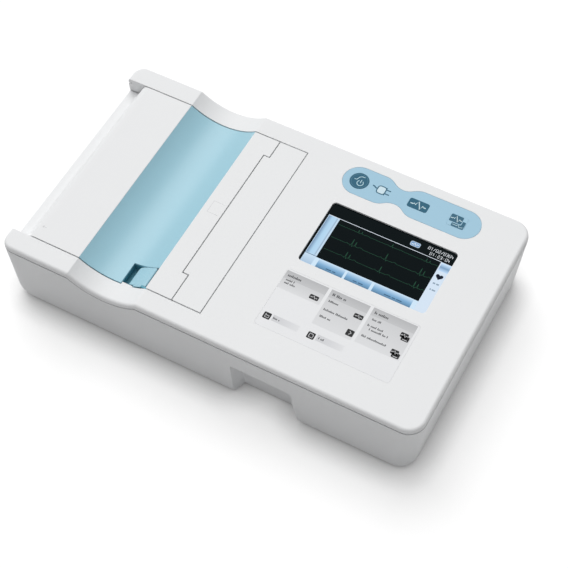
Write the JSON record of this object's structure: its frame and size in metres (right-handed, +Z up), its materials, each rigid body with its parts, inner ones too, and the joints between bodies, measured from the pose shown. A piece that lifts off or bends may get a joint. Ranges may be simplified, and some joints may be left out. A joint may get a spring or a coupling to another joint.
{
  "type": "electrocardiograph",
  "caption": "Portable desktop ECG recorder: chart printer under a sliding paper cover with a blue scoop and latch, colour touch display, sprung keys and a grip recess.",
  "frame": {"origin": "on the table under the middle of the case", "axes": "+X along the length to the right, +Y to the back, +Z up"},
  "size_m": [0.328, 0.189, 0.0622],
  "materials": {
    "white_abs": "fine moulded texture, satin",
    "blue_plastic": "tinted, smooth satin",
    "keypad_film": "printed film, satin",
    "key_print": "printed film, satin",
    "label_film": "printed polycarbonate label",
    "touch_glass": "polished",
    "lcd": "display module",
    "rubber": "matte",
    "steel": "plated sheet",
    "aluminium": "extruded",
    "brass": "turned",
    "bronze": "sintered",
    "circuit_board": "solder mask",
    "black_plastic": "moulded",
    "gear_plastic": "acetal",
    "battery_wrap": "shrink wrap over cells",
    "supply_block": "potted module",
    "ceramic": "glazed",
    "light_pipe": "clear",
    "chart_paper": "coated thermal paper"
  },
  "bodies": {
    "case": {"bottom_shell": "white_abs", "top_shell": "white_abs", "rubber_feet": "rubber", "case_screws": "steel", "battery_door": "white_abs", "door_screws": "steel", "battery_pack": "battery_wrap", "main_board": "circuit_board", "board_chips": "black_plastic", "board_screws": "steel", "ecg_front_end": "aluminium", "power_supply": "supply_block", "speaker": "black_plastic", "mains_inlet": "black_plastic", "inlet_pins": "steel", "usb_host_port": "steel", "usb_device_port": "steel", "patient_socket": "steel", "socket_posts": "steel", "equaliser_pin": "brass", "touch_glass": "touch_glass", "lcd_module": "lcd", "display_frame": "steel", "display_screws": "steel", "keypad_overlay": "keypad_film", "switch_board": "circuit_board", "switch_domes": "steel", "mains_lamp": "light_pipe", "instruction_label": "label_film", "head_strip": "white_abs", "tear_bar": "steel", "drive_frame": "steel", "frame_screws": "steel", "motor_can": "steel", "idler_pin": "steel", "head_pin": "steel", "head_springs": "steel", "paper_tray": "white_abs", "paper_pack": "chart_paper", "latch_strike": "white_abs"},
    "paper_cover": {"paper_cover": "white_abs", "scoop_panel": "blue_plastic", "platen_bushes": "bronze", "latch_pin": "steel", "latch_spring": "steel"},
    "platen": {"platen_shaft": "steel", "platen_rubber": "rubber", "platen_gear": "gear_plastic"},
    "latch": {"latch_lever": "blue_plastic"},
    "idler": {"idler_gear": "gear_plastic"},
    "motor_rotor": {"motor_shaft": "steel", "motor_pinion": "brass"},
    "print_head": {"head_heatsink": "aluminium", "head_ceramic": "ceramic"},
    "power_key": {"power_key": "key_print"},
    "auto_key": {"auto_key": "key_print"},
    "rhythm_key": {"rhythm_key": "keypad_film"}
  },
  "joints": [
    {"name": "cover_slide", "type": "slide", "parent": "case", "child": "paper_cover", "axis": [-1, 0, 0], "range_m": [0, 0.1]},
    {"name": "latch_press", "type": "hinge", "parent": "paper_cover", "child": "latch", "pos_m": [-0.055, -0.06755, 0.0586], "axis": [0, -1, 0], "range_deg": [0, 10], "stiffness_Nm_per_rad": 0.05, "deforming": ["latch_spring"]},
    {"name": "platen_spin", "type": "hinge", "parent": "paper_cover", "child": "platen", "pos_m": [-0.0437, 0, 0.0495], "axis": [0, 1, 0], "continuous": true},
    {"name": "idler_spin", "type": "hinge", "parent": "case", "child": "idler", "pos_m": [-0.0297, -0.0628, 0.0495], "axis": [0, 1, 0], "continuous": true},
    {"name": "motor_spin", "type": "hinge", "parent": "case", "child": "motor_rotor", "pos_m": [-0.02079, -0.0628, 0.04059], "axis": [0, 1, 0], "continuous": true},
    {"name": "head_pivot", "type": "hinge", "parent": "case", "child": "print_head", "pos_m": [-0.0344, 0, 0.043], "axis": [0, 1, 0], "range_deg": [0, 4], "stiffness_Nm_per_rad": 0.6, "deforming": ["head_springs"]},
    {"name": "power_key_press", "type": "slide", "parent": "case", "child": "power_key", "axis": [0, 0, -1], "range_m": [0, 0.0005], "stiffness_N_per_m": 800},
    {"name": "auto_key_press", "type": "slide", "parent": "case", "child": "auto_key", "axis": [0, 0, -1], "range_m": [0, 0.0005], "stiffness_N_per_m": 800},
    {"name": "rhythm_key_press", "type": "slide", "parent": "case", "child": "rhythm_key", "axis": [0, 0, -1], "range_m": [0, 0.0005], "stiffness_N_per_m": 800}
  ],
  "couplings": [
    {"joint": "idler_spin", "follows": "platen_spin", "ratio": -0.81818},
    {"joint": "motor_spin", "follows": "platen_spin", "ratio": 1.2857}
  ]
}
